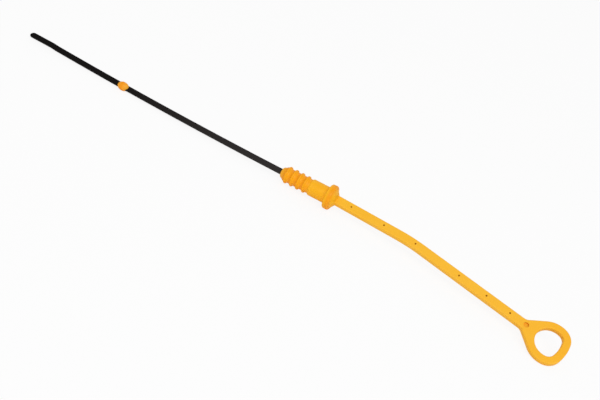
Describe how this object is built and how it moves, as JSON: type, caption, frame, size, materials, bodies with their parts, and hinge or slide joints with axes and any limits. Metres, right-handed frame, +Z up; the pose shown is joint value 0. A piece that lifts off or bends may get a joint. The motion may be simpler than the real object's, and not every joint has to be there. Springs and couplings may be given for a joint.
{
  "type": "engine oil dipstick",
  "caption": "Flat-blade engine oil dipstick: dark steel strip with a guide bead, ribbed stopper with a flange, and a flat bent handle ending in a finger loop.",
  "frame": {"origin": "centre of the flange's nose-side seat, on the stopper's axis", "axes": "+X along the length towards the finger loop, +Y to the left of the loop, +Z up as the dipstick lies"},
  "size_m": [0.5216, 0.0481, 0.021],
  "materials": {
    "dark_steel": "dark oiled spring steel",
    "orange_plastic": "satin moulded nylon"
  },
  "bodies": {
    "root": {"blade": "dark_steel", "guide_bead": "orange_plastic", "handle": "orange_plastic"}
  },
  "joints": []
}
